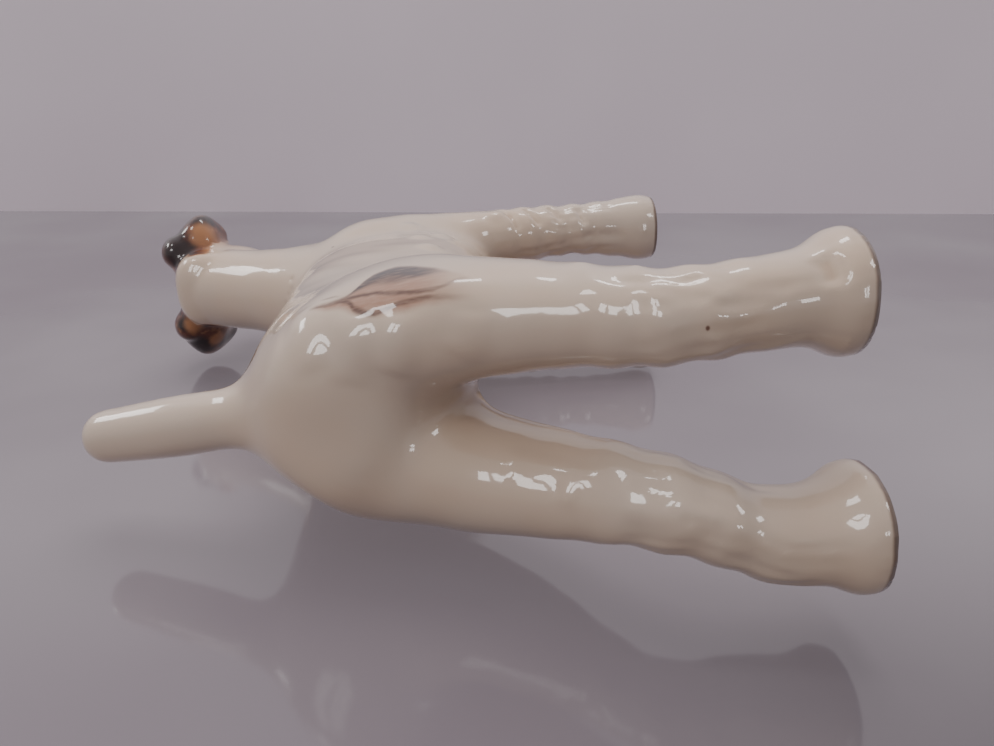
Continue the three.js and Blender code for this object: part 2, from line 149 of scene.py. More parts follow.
class GlazeProperties(bpy.types.PropertyGroup):
    """Colours and gloss of the glaze and the painting under it."""

    glaze: FloatVectorProperty(
        name="Glaze", description="Warm white of the glazed body",
        default=(0.485, 0.37, 0.283), size=3, min=0, max=1, subtype="COLOR",
    )
    cool: FloatVectorProperty(
        name="Thin glaze", description="Greyer white where the glaze lies thin",
        default=(0.47, 0.378, 0.305), size=3, min=0, max=1, subtype="COLOR",
    )
    # Painted shade: a browner white that darkens the hollows of the coat, where shade falls.
    painted_hollow_shade: FloatVectorProperty(
        name="Painted hollow shade", description="Where the glaze lies thicker, in the hollows of the coat",
        default=(0.33, 0.22, 0.145), size=3, min=0, max=1, subtype="COLOR",
    )
    bare: FloatVectorProperty(
        name="Bare sole", description="Unglazed, stained rim of the soles",
        default=(0.14, 0.09, 0.065), size=3, min=0, max=1, subtype="COLOR",
    )
    ear_black: FloatVectorProperty(
        name="Ear black", description="Darkest paint on the ears",
        default=(0.010, 0.005, 0.006), size=3, min=0, max=1, subtype="COLOR",
    )
    ear_brown: FloatVectorProperty(
        name="Ear brown", description="Red-brown paint on the ears",
        default=(0.085, 0.022, 0.010), size=3, min=0, max=1, subtype="COLOR",
    )
    ear_orange: FloatVectorProperty(
        name="Ear orange", description="Thin orange paint at the edges of the ears",
        default=(0.33, 0.15, 0.065), size=3, min=0, max=1, subtype="COLOR",
    )
    patch_dark: FloatVectorProperty(
        name="Patch brown", description="Brown strokes of the patch on the haunch",
        default=(0.060, 0.026, 0.018), size=3, min=0, max=1, subtype="COLOR",
    )
    patch_grey: FloatVectorProperty(
        name="Patch grey", description="Dark purple-grey edge of the patch",
        default=(0.022, 0.012, 0.014), size=3, min=0, max=1, subtype="COLOR",
    )
    patch_pale: FloatVectorProperty(
        name="Patch pink", description="Thin pinkish wash inside the patch",
        default=(0.28, 0.155, 0.105), size=3, min=0, max=1, subtype="COLOR",
    )
    coat_roughness: FloatProperty(
        name="Gloss", description="Roughness of the glaze's surface",
        default=0.04, min=0, max=1, subtype="FACTOR",
    )


class StageProperties(bpy.types.PropertyGroup):
    """The table, the wall and the light."""

    table: FloatVectorProperty(
        name="Table", description="Colour of the glossy table top",
        default=(0.15, 0.124, 0.145), size=3, min=0, max=1, subtype="COLOR",
    )
    wall: FloatVectorProperty(
        name="Wall", description="Colour of the wall behind",
        default=(0.90, 0.81, 0.872), size=3, min=0, max=1, subtype="COLOR",
    )
    sky: FloatProperty(
        name="Room light", description="Strength of the light from all round",
        default=0.70, min=0, max=10,
    )
    windows: FloatProperty(
        name="Window light", description="Brightness of the windows round the dog",
        default=11.0, min=0, max=100,
    )
    ceiling: FloatProperty(
        name="Ceiling light", description="Brightness of the soft light from above",
        default=3.0, min=0, max=100,
    )
    bounce: FloatProperty(
        name="Bounced light", description="Brightness of the light from below the table",
        default=0.32, min=0, max=100,
    )


def eased(value, start, end):
    """A smooth step from 0 to 1 as a value goes from start to end."""
    share = np.clip((value - start) / (end - start), 0, 1)
    return share * share * (3 - 2 * share)


# How far one round of sponging presses towards the neighbours' middle, and lifts back from it
FETTLE_PRESS = 0.6
FETTLE_LIFT = 0.61

# The number of waves in the swell, and half the thickness of a slice through a leg
WAVES = 18
SLICE = 1.5 * MM


class Clay:
    """The points of the working form, pushed about like clay."""

    def __init__(self, mesh):
        self.mesh = mesh
        self.count = len(mesh.vertices)
        self.points = np.empty((self.count, 3))
        mesh.vertices.foreach_get("co", self.points.ravel())
        ends = np.empty(len(mesh.edges) * 2, dtype=np.int32)
        mesh.edges.foreach_get("vertices", ends)
        both_ways = np.concatenate([ends.reshape(-1, 2), ends.reshape(-1, 2)[:, ::-1]])
        both_ways = both_ways[np.argsort(both_ways[:, 0], kind="stable")]
        self.degree = np.bincount(both_ways[:, 0], minlength=self.count)
        first_row = np.cumsum(self.degree) - self.degree
        self.near = []
        for turn in range(self.degree.max()):
            has_more = np.flatnonzero(self.degree > turn)
            self.near.append((has_more, both_ways[first_row[has_more] + turn, 1].astype(np.intp)))

    def neighbour_shift(self, points):
        """From each point to the middle of its neighbours."""
        sums = np.zeros_like(points)
        for has_more, neighbour in self.near:
            if len(has_more) == self.count:
                sums += points[neighbour]
            else:
                sums[has_more] += points[neighbour]
        return sums / self.degree[:, None] - points

    def normals(self):
        """Outward directions of the points as they now stand."""
        self.mesh.vertices.foreach_set("co", self.points.astype(np.float32).ravel())
        self.mesh.update()
        found = np.empty((self.count, 3), dtype=np.float32)
        self.mesh.vertex_normals.foreach_get("vector", found.ravel())
        return found.astype(float)

    def fettle(self, rounds, share):
        """Evens the surface out and keeps its bulk: each round presses in and lifts back."""
        press = FETTLE_PRESS * share[:, None]
        lift = FETTLE_LIFT * share[:, None]
        for _ in range(rounds):
            self.points += self.neighbour_shift(self.points) * press
            self.points -= self.neighbour_shift(self.points) * lift

    def sponge(self, rounds, share):
        """Wipes facets and small steps away, and a little bulk with them."""
        for _ in range(rounds):
            self.points += self.neighbour_shift(self.points) * (FETTLE_PRESS * share)[:, None]

    def fill_creases(self, rounds, grain, radius, share):
        """Fills hollows that are sharper than a radius, until they are as wide as it."""
        least = grain * grain / (2 * radius)
        for turn in range(rounds):
            if turn % 10 == 0:
                outward = self.normals()
            hollow = np.einsum("ij,ij->i", self.neighbour_shift(self.points), outward)
            self.points += outward * (np.maximum(hollow - least, 0) * share)[:, None]

    def hollows(self, rounds):
        """How far each point lies below the surface as it would be if it were sponged smooth."""
        smooth = self.points.copy()
        for _ in range(rounds):
            smooth += self.neighbour_shift(smooth) * FETTLE_PRESS
        return np.einsum("ij,ij->i", smooth - self.points, self.normals())

    def undulate(self, wavelength, height, share, seed):
        """Soft waves that run every way over the surface."""
        chance = np.random.default_rng(seed)
        ways = chance.normal(size=(WAVES, 3))
        ways /= np.linalg.norm(ways, axis=1)[:, None]
        lengths = wavelength * chance.uniform(0.7, 1.5, WAVES)
        turns = self.points @ (ways / lengths[:, None]).T * math.tau + chance.uniform(0, math.tau, WAVES)
        waves = np.sin(turns).sum(axis=1) / math.sqrt(WAVES / 2)
        self.points += self.normals() * (waves * share * height)[:, None]

    def on_surface(self, place):
        """The point of the clay that is nearest to a place."""
        gaps = np.linalg.norm(self.points - np.array(place), axis=1)
        return self.points[np.argmin(gaps)].copy()

    def strokes(self, paths, reach, height):
        """Raises a ridge along each path on the surface or, with a height below 0, cuts a groove."""
        outward = self.normals()
        for path in paths:
            seated = np.array([self.on_surface(place) for place in path])
            inside = (self.points > seated.min(axis=0) - reach) & (self.points < seated.max(axis=0) + reach)
            near = np.flatnonzero(inside.all(axis=1))
            gap, along = distance_to_path(self.points[near], seated)
            weight = np.clip(1 - (gap / reach) ** 2, 0, 1) ** 2
            if len(path) > 1:
                weight *= 1 - (2 * along - 1) ** 4
            self.points[near] += outward[near] * (weight * height)[:, None]

    def middle(self, box, height):
        """The middle of a leg at a height."""
        low, high = np.array(box[0]), np.array(box[1])
        low[2], high[2] = height - SLICE, height + SLICE
        inside = ((self.points > low) & (self.points < high)).all(axis=1)
        return self.points[inside].mean(axis=0)

    def press_flat(self, height):
        """Rubs the soles flat on the bench, and stretches the clay just above them down to meet it."""
        low = self.points[:, 2] < 3 * height
        self.points[low, 2] = np.maximum(self.points[low, 2] - height, 0) * 1.5


def distance_to_path(points, path):
    """Distance of each point to a path, and how far along the path that is, from 0 to 1."""
    nearest = np.full(len(points), np.inf)
    along = np.zeros(len(points))
    pieces = max(1, len(path) - 1)
    for index in range(pieces):
        start = path[index]
        step = path[min(index + 1, len(path) - 1)] - start
        share = np.clip((points - start) @ step / max(step @ step, 1e-12), 0, 1)
        gap = np.linalg.norm(points - start - share[:, None] * step, axis=1)
        closer = gap < nearest
        nearest[closer] = gap[closer]
        along[closer] = (index + share[closer]) / pieces
    return nearest, along


def merged_copy(node):
    """A node's skin with its doubles merged."""
    bm = bmesh.new()
    bm.from_mesh(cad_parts[node].data)
    bmesh.ops.remove_doubles(bm, verts=bm.verts, dist=0.002 * MM)
    return bm


# A casting's seat is found within the reach, and pressed past its neighbour's skin by the overlap
LUTING_REACH = 0.55 * MM
LUTING_OVERLAP = 0.45 * MM


def lute(bm, neighbour):
    """Presses the face of a casting that lies on its neighbour's seam a little way into it."""
    tree = BVHTree.FromBMesh(neighbour)
    for vert in bm.verts:
        place, _, _, gap = tree.find_nearest(vert.co, LUTING_REACH)
        if place is not None and gap > 0:
            vert.co = place + (place - vert.co).normalized() * LUTING_OVERLAP


PLUG_RADIUS = 9 * MM
PLUG_DEPTH = 12 * MM
PLUG_RISE = spot(0, 0, 8)


def plug_vent(bm):
    """Closes the hollow above the vent, so that the vent stays as a recess."""
    bmesh.ops.create_cone(
        bm, cap_ends=True, segments=24, radius1=PLUG_RADIUS, radius2=PLUG_RADIUS, depth=PLUG_DEPTH,
        matrix=Matrix.Translation(BELLY_VENT + PLUG_RISE),
    )


def joined_castings():
    """All the castings as one bmesh, each pressed into the one that carries it."""
    torso = merged_copy("torso_casting")
    head = merged_copy("head_neck_casting")
    carried = [(head, torso)]
    for name in ("tail",) + LEGS:
        carried.append((merged_copy(name), torso))
    for name in ("right_ear", "left_ear"):
        carried.append((merged_copy(name), head))
    for part, carrier in carried:
        lute(part, carrier)
    plug_vent(torso)
    whole = bmesh.new()
    for form in [torso] + [part for part, _ in carried]:
        skin = bpy.data.meshes.new("skin")
        form.to_mesh(skin)
        form.free()
        whole.from_mesh(skin)
        bpy.data.meshes.remove(skin)
    return whole


def evenly_meshed(bm, grain):
    """One even skin round everything in a bmesh."""
    source = bpy.data.meshes.new("source")
    bm.to_mesh(source)
    bm.free()
    block = bpy.data.objects.new("block", source)
    bpy.context.scene.collection.objects.link(block)
    skin = block.modifiers.new("Skin", "REMESH")
    skin.mode = "VOXEL"
    skin.voxel_size = grain
    skin.adaptivity = 0
    graph = bpy.context.evaluated_depsgraph_get()
    mesh = bpy.data.meshes.new_from_object(block.evaluated_get(graph))
    bpy.data.objects.remove(block)
    bpy.data.meshes.remove(source)
    return mesh


def keep_largest(mesh):
    """Deletes every closed skin but the largest one."""
    bm = bmesh.new()
    bm.from_mesh(mesh)
    left = set(bm.verts)
    skins = []
    while left:
        front = [left.pop()]
        skin = list(front)
        while front:
            vert = front.pop()
            for edge in vert.link_edges:
                other = edge.other_vert(vert)
                if other in left:
                    left.remove(other)
                    front.append(other)
                    skin.append(other)
        skins.append(skin)
    skins.sort(key=len)
    for skin in skins[:-1]:
        bmesh.ops.delete(bm, geom=skin, context="VERTS")
    bm.to_mesh(mesh)
    bm.free()


# Soft edges of the trunk, each from its start to its end: heights at the legs and at the tail, and
# distances up the neck. Then the distances from the crotch and from the tail's root over which the
# filling grows, and the heights over which the thighs begin.
LEG_EDGE = (48 * MM, 64 * MM)
TAIL_EDGE = (108 * MM, 120 * MM)
NECK_EDGE = (16 * MM, 34 * MM)
CROTCH_EDGE = (7 * MM, 15 * MM)
TAIL_ROOT_EDGE = (11 * MM, 20 * MM)
THIGH_EDGE = (16 * MM, 26 * MM)


def body_share(clay):
    """1 on the trunk, 0 on the legs below the elbows and on the head, with soft edges."""
    above_legs = eased(clay.points[:, 2], *LEG_EDGE)
    up_neck = (clay.points - np.array(NECK_SEAM)) @ np.array(NECK_LEAN)
    up_tail = eased(clay.points[:, 2], *TAIL_EDGE) * (clay.points[:, 0] < 0)
    return above_legs * (1 - eased(up_neck, *NECK_EDGE)) * (1 - up_tail)


def fillet_share(clay):
    """As the body, but with less filling at the crotch and at the root of the tail."""
    from_crotch = np.linalg.norm(clay.points - np.array(CROTCH), axis=1)
    from_tail = np.linalg.norm(clay.points - np.array(TAIL_ROOT), axis=1)
    open_places = eased(from_crotch, *CROTCH_EDGE) * eased(from_tail, *TAIL_ROOT_EDGE)
    return 0.8 * body_share(clay) * (0.1 + 0.9 * open_places)


def tool_paths(*paths):
    """Paths of the modelling tool over the surface, from their places in millimetres."""
    return [[spot(*place) for place in path] for path in paths]


# The filler lies this far under the skin. A roll of clay along each buttock joins it to the thigh: it is
# measured, but for its ends, which are given.
FILLER_SINK = 0.15 * MM
RIGHT_BUTTOCK = tool_paths((
    (-63, -14, 101), (-67.5, -13.9, 94.4), (-70.3, -13.2, 86.8), (-72.9, -13.1, 79.5), (-75.5, -14, 72.3),
    (-77.6, -15.6, 64),
))
LEFT_BUTTOCK = tool_paths((
    (-65, 20, 96), (-69.7, 15.6, 89.2), (-72.6, 10.6, 82.7), (-71.4, 6.5, 76.9), (-67.5, 3.5, 69),
))


def body_filler(settings):
    """The clay that fills the creases between the body's forms, as a coarse skin just under them."""
    mesh = evenly_meshed(joined_castings(), settings.coarse)
    keep_largest(mesh)
    clay = Clay(mesh)
    clay.fettle(8, np.ones(clay.count))
    clay.strokes(RIGHT_BUTTOCK, 17 * MM, 4.5 * MM)
    clay.strokes(LEFT_BUTTOCK, 15 * MM, 3.6 * MM)
    clay.fill_creases(settings.creases, settings.coarse, settings.fillet, fillet_share(clay))
    clay.points -= clay.normals() * FILLER_SINK
    clay.normals()
    return mesh


# Strokes of the modelling tool on the body and the legs: the ripples are given, and the others are measured,
# apart from a few places in the middle of a stroke.
HAUNCH_RIPPLES = tool_paths(
    ((-64.5, -18, 92), (-67.5, -13.9, 90.5), (-70, -9, 90)),
    ((-70, -17.5, 82), (-72, -13.1, 83), (-73, -8, 85.5)),
    ((-73.5, -18.5, 74.5), (-75.5, -14, 75.5), (-76.5, -9.5, 77.5)),
    ((-77, -20.5, 63), (-79, -16, 64), (-79.5, -12, 66)),
)
FRONT_LEG_TUFTS = tool_paths(
    ((45.0, -24.8, 50.3), (42.0, -23.0, 48.0), (37.9, -18.4, 45.1)),
    ((44.7, -24.7, 43.0), (42.3, -23.0, 40.6), (39.7, -19.3, 38.3)),
    ((46.3, -24.7, 35.4), (44.0, -23.5, 33.0), (41.8, -20.2, 30.7)),
    ((46.2, -23.9, 25.4), (44.2, -21.8, 24.3), (42.1, -18.5, 23.3)),
)
ELBOW_LUMPS = tool_paths(
    ((12.2, -21.6, 74.8),), ((19.1, -20.3, 68.6),), ((27.9, -22.7, 78.3),), ((-1.6, -20.1, 71.8),),
    ((40.8, -23.7, 52.2),),
)
THIGH_RIDGES = tool_paths(
    ((-77.9, 6.1, 59.0), (-78.6, 6.0, 56.9), (-81.2, 9.9, 58.3)),
    ((-78.5, 5.5, 55.6), (-83, 6.5, 49.5), (-87.1, 7.9, 43.2)),
    ((-84.6, 10.5, 50.1), (-86.3, 11.4, 47.1)),
    ((-90.8, 11.4, 40.6), (-94, 11.2, 36.7), (-96.2, 10.9, 32.9)),
    ((-97.3, 11.2, 30.8), (-98.7, 11.2, 25.6)),
)
PAW_DIMPLE = tool_paths(((-86.3, -28.8, 7.7), (-89.2, -26.8, 7.4), (-91.1, -24.0, 7.2)))
GLAZE_PITS = tool_paths(
    ((20.1, -1.4, 116.3),), ((19.2, -3.3, 115.6),), ((18.5, -6.6, 114.2),), ((18.9, -8.6, 113.4),),
    ((20.3, -10.7, 113.4),),
)

# Strokes of the body with their reach and height in millimetres, in the order they are made
BODY_STROKES = (
    (ELBOW_LUMPS, 4.5, 0.8),
    (THIGH_RIDGES, 3.2, 0.35),
    (HAUNCH_RIPPLES, 5, 0.5),
    (GLAZE_PITS, 1.1, -0.4),
)

# Shares of a lock's length at which its path has a place
LOCK_STEPS = (0, 0.25, 0.5, 0.75, 1)


def model_body(clay, depth):
    """The elbow's lumps, the left thigh's ridges, the right haunch's ripples and the pits by the withers."""
    for paths, reach, height in BODY_STROKES:
        clay.strokes(paths, reach * MM, height * MM * depth)


def chest_locks(chance):
    """Wavy locks down the chest."""
    for _ in range(34):
        aside = chance.uniform(-15, 17)
        top = chance.uniform(76, 100)
        length = chance.uniform(12, 22)
        lean = chance.uniform(-3, 3)
        wave = chance.uniform(-1.2, 1.2)
        ahead = 80 - 0.05 * aside * aside
        yield [
            spot(ahead, aside + lean * step + wave * math.sin(5 * step), top - length * step)
            for step in LOCK_STEPS
        ]


def leg_locks(clay, leg, chance, number, lowest, highest):
    """Locks that hang down a leg, most of them at its back."""
    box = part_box(leg)
    for _ in range(number):
        turn = chance.normal(math.pi, 1.0)
        top = chance.uniform(lowest + 8, highest)
        length = chance.uniform(8, 15)
        sweep = chance.uniform(-0.15, 0.45)
        path = []
        for step in (0, 0.33, 0.67, 1):
            height = (top - length * step) * MM
            angle = turn + sweep * step * math.sin(turn)
            out = spot(16 * math.cos(angle), 16 * math.sin(angle), 0)
            path.append(Vector(clay.middle(box, height)) + out)
        yield path


TOE_ANGLES = (-0.62, 0.0, 0.62)
TOE_MIDDLE = 4 * MM
TOE_GROOVE = ((9, 7), (12, 4), (13, 0.5), (13, -3.5))


def toe_grooves(clay, leg):
    """The three grooves that part the toes of a foot: each runs out and down from its middle."""
    middle = Vector(clay.middle(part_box(leg), TOE_MIDDLE))
    for angle in TOE_ANGLES:
        ahead = spot(math.cos(angle), math.sin(angle), 0)
        yield [middle + ahead * out + spot(0, 0, rise) for out, rise in TOE_GROOVE]


def model_legs(clay, depth, chance):
    """The coat of the four legs and their toes."""
    clay.strokes(FRONT_LEG_TUFTS, 1.8 * MM, -1.1 * MM * depth)
    for leg in LEGS:
        hind = "hind" in leg
        locks = list(leg_locks(clay, leg, chance, 26 if hind else 20, 14, 44))
        clay.strokes(locks, 1.3 * MM, (-0.22 if hind else -0.3) * MM * depth)
        clay.strokes(toe_grooves(clay, leg), 1.7 * MM, -1.0 * MM * depth)
    clay.strokes(PAW_DIMPLE, 3.2 * MM, -0.8 * MM * depth)


def both_sides(*places):
    """A path on the head, from (ahead, out, height) places, and its mirror image."""
    for side in (-1, 1):
        yield [head_spot(ahead, side * out, height) for ahead, out, height in places]


def beard_locks(chance):
    """Wavy locks down both sides of the muzzle and round its front."""
    for side in (-1, 1):
        for ahead in np.arange(31, 72, 2.6):
            start = ahead + chance.uniform(-0.8, 0.8)
            wave = chance.uniform(-0.8, 0.8)
            out = 9.5 if ahead < 66 else 9.5 - 1.3 * (ahead - 66)
            yield [
                head_spot(start + 5 * step + wave * math.sin(5 * step), side * out, 136.5 - 13 * step)
                for step in LOCK_STEPS
            ]


def brow_locks():
    """Short strokes forward and down through the eyebrows."""
    for out in (4.2, 6.2, 8.2, 10.2):
        yield from both_sides((38, out, 161), (44, out + 0.6, 159), (47.5, out + 1.2, 155.5))


MOUTH = ((52, 9.5, 137), (58, 9.5, 139.4), (66, 9, 139), (71, 4, 139), (72, 0, 139.6))


def face_strokes(chance):
    """The strokes of a terrier's face with their reach and height in millimetres, as they are made."""
    brows = both_sides((43, 6.5, 157.5), (46, 8.8, 156))
    sockets = both_sides((46, 8.8, 150.5), (50, 6.5, 150))
    eyes = both_sides((47.2, 9.2, 150.9))
    lip = [[head_spot(73, 0, 145), head_spot(73, 0, 142), head_spot(72, 0, 139.5)]]
    nostrils = both_sides((74, 2.2, 148.2))
    forehead = [[head_spot(30, 0, 161), head_spot(42, 0, 159)]]
    return (
        (brows, 3.6, 0.9),
        (sockets, 2.6, -0.7),
        (eyes, 2.1, 0.9),
        (brow_locks(), 1.2, -0.45),
        (both_sides(*MOUTH), 1.5, -1.0),
        (lip, 1.3, -0.7),
        (nostrils, 1.2, -0.8),
        (forehead, 3.5, -0.6),
        (beard_locks(chance), 1.5, -0.65),
    )


def model_face(clay, depth, chance):
    """Brows over the eyes, a closed mouth, nostrils and a beard."""
    for paths, reach, height in face_strokes(chance):
        clay.strokes(paths, reach * MM, height * MM * depth)


# How the whole clay is evened out round its seams: rounds, radius and share of the filling
SEAM_ROUNDS = 30
SEAM_RADIUS = 2 * MM
SEAM_SHARE = 0.6
LAST_FETTLING = 3

# The length of the swell's waves, how much of it the legs and the head have, and the seeds
SWELL_LENGTH = 13 * MM
SWELL_LEAST = 0.35
SWELL_SEED = 5
LOCKS_SEED = 11

# Rounds of sponging that show how deep a hollow is
HOLLOW_ROUNDS = 40


class FIGURINE_OT_clay(bpy.types.Operator):
    """Join copies of the castings, mesh them evenly and model the clay"""

    bl_idname = "figurine.clay"
    bl_label = "Model the clay"

    def execute(self, context):
        settings = context.scene.figurine_clay
        whole = joined_castings()
        filler = body_filler(settings)
        whole.from_mesh(filler)
        bpy.data.meshes.remove(filler)
        mesh = evenly_meshed(whole, settings.grain)
        mesh.name = FORM_NAME
        keep_largest(mesh)
        clay = Clay(mesh)
        everywhere = np.ones(clay.count)
        clay.fettle(settings.fettling // 2, everywhere)
        clay.fill_creases(SEAM_ROUNDS, settings.grain, SEAM_RADIUS, everywhere * SEAM_SHARE)
        thighs = 0.8 * (clay.points[:, 0] < 0) * eased(clay.points[:, 2], *THIGH_EDGE)
        clay.fettle(settings.fettling, np.maximum(body_share(clay), thighs))
        clay.sponge(settings.sponging, body_share(clay))
        swell_share = SWELL_LEAST + (1 - SWELL_LEAST) * body_share(clay)
        clay.undulate(SWELL_LENGTH, settings.swell, swell_share, SWELL_SEED)
        chance = np.random.default_rng(LOCKS_SEED)
        model_body(clay, settings.tooling)
        clay.strokes(chest_locks(chance), 1.7 * MM, -0.45 * MM * settings.tooling)
        model_legs(clay, settings.tooling, chance)
        model_face(clay, settings.tooling, chance)
        clay.fettle(LAST_FETTLING, everywhere)
        clay.press_flat(SOLE_HEIGHT)
        for name, kind, field, values in (
            ("outward", "FLOAT_VECTOR", "vector", clay.normals()),
            ("hollow", "FLOAT", "value", clay.hollows(HOLLOW_ROUNDS) / MM),
        ):
            layer = mesh.attributes.new(name, kind, "POINT")
            layer.data.foreach_set(field, values.astype(np.float32).ravel())
        return {"FINISHED"}


def cut_away(bm, place, direction, where=None):
    """Keeps what lies beyond a plane, and closes the cut with a flat face."""
    verts = [v for v in bm.verts if where is None or where(v.co)]
    chosen = set(verts)
    edges = [e for e in bm.edges if e.verts[0] in chosen and e.verts[1] in chosen]
    faces = [f for f in bm.faces if all(v in chosen for v in f.verts)]
    cut = bmesh.ops.bisect_plane(
        bm, geom=verts + edges + faces, dist=0.001 * MM, plane_co=place, plane_no=direction,
        clear_inner=True,
    )
    rim = [item for item in cut["geom_cut"] if isinstance(item, bmesh.types.BMEdge)]
    caps = bmesh.ops.holes_fill(bm, edges=rim, sides=0)["faces"]
    for face in caps:
        face.smooth = False
    bmesh.ops.triangulate(bm, faces=caps)


def keep_normals(mesh):
    """Shades each casting as the whole figure was, so that no seam shows through the glaze."""
    outward = np.empty((len(mesh.vertices), 3), dtype=np.float32)
    mesh.attributes["outward"].data.foreach_get("vector", outward.ravel())
    corners = np.empty(len(mesh.loops), dtype=np.int32)
    mesh.loops.foreach_get("vertex_index", corners)
    normals = outward[corners]
    for face in mesh.polygons:
        if not face.use_smooth:
            for corner in face.loop_indices:
                normals[corner] = face.normal
    mesh.attributes.remove(mesh.attributes["outward"])
    mesh.normals_split_custom_set(normals.tolist())


def casting(name, cuts, material):
    """Cuts one piece out of the clay form and glazes it."""
    form = bpy.data.meshes.get(FORM_NAME)
    if form is None:
        raise RuntimeError("model the clay before its pieces")
    bm = bmesh.new()
    bm.from_mesh(form)
    for face in bm.faces:
        face.smooth = True
    for cut in cuts:
        cut_away(bm, *cut)
    if not bm.faces:
        raise RuntimeError(f"nothing is left of {name}")
    mesh = bpy.data.meshes.new(name)
    bm.to_mesh(mesh)
    bm.free()
    keep_normals(mesh)
    mesh.materials.append(material)
    piece = bpy.data.objects.new(name, mesh)
    bpy.context.scene.collection.objects.link(piece)
    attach(piece, "root")
    return piece


# Directions and the middle of the dog, for the planes that part the castings
UP = Vector((0, 0, 1))
DOWN = Vector((0, 0, -1))
FORWARDS = Vector((1, 0, 0))
BACKWARDS = Vector((-1, 0, 0))
LEFTWARDS = Vector((0, 1, 0))
RIGHTWARDS = Vector((0, -1, 0))
MIDDLE = spot(0, 1.38, 60)


def in_front(co):
    return co.x > MIDDLE.x


def behind(co):
    return co.x < MIDDLE.x


def above_jaw(co):
    return co.z > EAR_FLOOR


def ear_plane(side):
    """The upright plane that parts an ear from the skull: its place and its outward direction."""
    outward = Vector((-HEAD_TURN * side, side, 0)).normalized()
    return SKULL_BACK + outward * EAR_SEAM_OUT, outward


# The colour sockets of a Mix node: its share, its two colours and what comes out
MIX_SHARE, MIX_FIRST, MIX_SECOND, MIX_RESULT = 0, 6, 7, 2


class Shader:
    """A node material while it is wired: each method gives back the socket that it made."""

    def __init__(self, name):
        self.material = bpy.data.materials.new(name)
        self.material.use_nodes = True
        self.tree = self.material.node_tree
        self.surface = self.tree.nodes["Principled BSDF"]

    def wire(self, value, socket):
        if isinstance(value, bpy.types.NodeSocket):
            self.tree.links.new(value, socket)
        else:
            socket.default_value = value

    def settle(self, node, values):
        """Wires or sets several sockets of a node."""
        for socket, value in values.items():
            self.wire(value, node.inputs[socket])

    def math(self, operation, *values, clamp=False):
        node = self.tree.nodes.new("ShaderNodeMath")
        node.operation = operation
        node.use_clamp = clamp
        for value, socket in zip(values, node.inputs):
            self.wire(value, socket)
        return node.outputs["Value"]

    def vector(self, operation, *values):
        node = self.tree.nodes.new("ShaderNodeVectorMath")
        node.operation = operation
        for value, socket in zip(values, node.inputs):
            self.wire(value, socket)
        scalar = operation in ("LENGTH", "DISTANCE", "DOT_PRODUCT")
        return node.outputs["Value" if scalar else "Vector"]

    def scaled(self, vector, factor):
        node = self.tree.nodes.new("ShaderNodeVectorMath")
        node.operation = "SCALE"
        self.settle(node, {"Vector": vector, "Scale": factor})
        return node.outputs["Vector"]

    def ramp(self, value, start, end, low=0.0, high=1.0):
        """A smooth step from low to high as a value goes from start to end."""
        node = self.tree.nodes.new("ShaderNodeMapRange")
        node.interpolation_type = "SMOOTHSTEP"
        self.settle(node, {"Value": value, "From Min": start, "From Max": end, "To Min": low, "To Max": high})
        return node.outputs["Result"]

    def mix(self, share, first, second):
        node = self.tree.nodes.new("ShaderNodeMix")
        node.data_type = "RGBA"
        self.settle(node, {MIX_SHARE: share, MIX_FIRST: first, MIX_SECOND: second})
        return node.outputs[MIX_RESULT]

    def noise(self, place, scale, detail=3.0, colour=False):
        node = self.tree.nodes.new("ShaderNodeTexNoise")
        self.settle(node, {"Vector": place, "Scale": scale, "Detail": detail})
        return node.outputs["Color" if colour else "Fac"]

    def place(self):
        """Object coordinates in millimetres."""
        node = self.tree.nodes.new("ShaderNodeTexCoord")
        return self.scaled(node.outputs["Object"], 1 / MM)

    def wavering(self, place, scale, amount):
        """The place, shifted here and there as a brush wavers."""
        waver = self.vector("SUBTRACT", self.noise(place, scale, colour=True), (0.5, 0.5, 0.5))
        return self.vector("ADD", place, self.scaled(waver, amount))

    def blot(self, place, centre, radii, softness):
        """A painted spot: 1 within its radii, fading to 0 over its soft edge."""
        away = self.vector("SUBTRACT", place, centre)
        reach = self.vector("LENGTH", self.vector("DIVIDE", away, radii))
        return self.ramp(reach, 1 + softness, 1 - softness)

    def brushed(self, place, start, end, width):
        """A painted line between two places, thinning to its ends."""
        start, end = Vector(start), Vector(end)
        way = end - start
        away = self.vector("SUBTRACT", place, start[:])
        along = self.vector("DOT_PRODUCT", away, way[:])
        share = self.math("DIVIDE", along, way.length_squared, clamp=True)
        aside = self.vector("LENGTH", self.vector("SUBTRACT", away, self.scaled(way[:], share)))
        middling = self.math("MULTIPLY", self.ramp(share, 0, 0.35), self.ramp(share, 1, 0.5))
        return self.math("MULTIPLY", self.ramp(aside, width, width * 0.2), middling)

    def both(self, *masks):
        joined = masks[0]
        for mask in masks[1:]:
            joined = self.math("MULTIPLY", joined, mask)
        return joined

    def either(self, *masks):
        joined = masks[0]
        for mask in masks[1:]:
            joined = self.math("MAXIMUM", joined, mask)
        return joined

    def kept(self, name):
        """A value that the clay carries at each of its points."""
        node = self.tree.nodes.new("ShaderNodeAttribute")
        node.attribute_name = name
        return node.outputs["Fac"]

    def curve(self, value, length, stops, low, high):
        """A curve through (place along the length, height) stops."""
        node = self.tree.nodes.new("ShaderNodeFloatCurve")
        points = node.mapping.curves[0].points
        while len(points) < len(stops):
            points.new(0.5, 0.5)
        for point, (along, height) in zip(points, stops):
            point.location = (along / length, (height - low) / (high - low))
        node.mapping.update()
        self.wire(self.math("DIVIDE", value, length, clamp=True), node.inputs["Value"])
        return self.math("MULTIPLY_ADD", node.outputs["Value"], high - low, low)


def colour(value):
    return (value[0], value[1], value[2], 1.0)


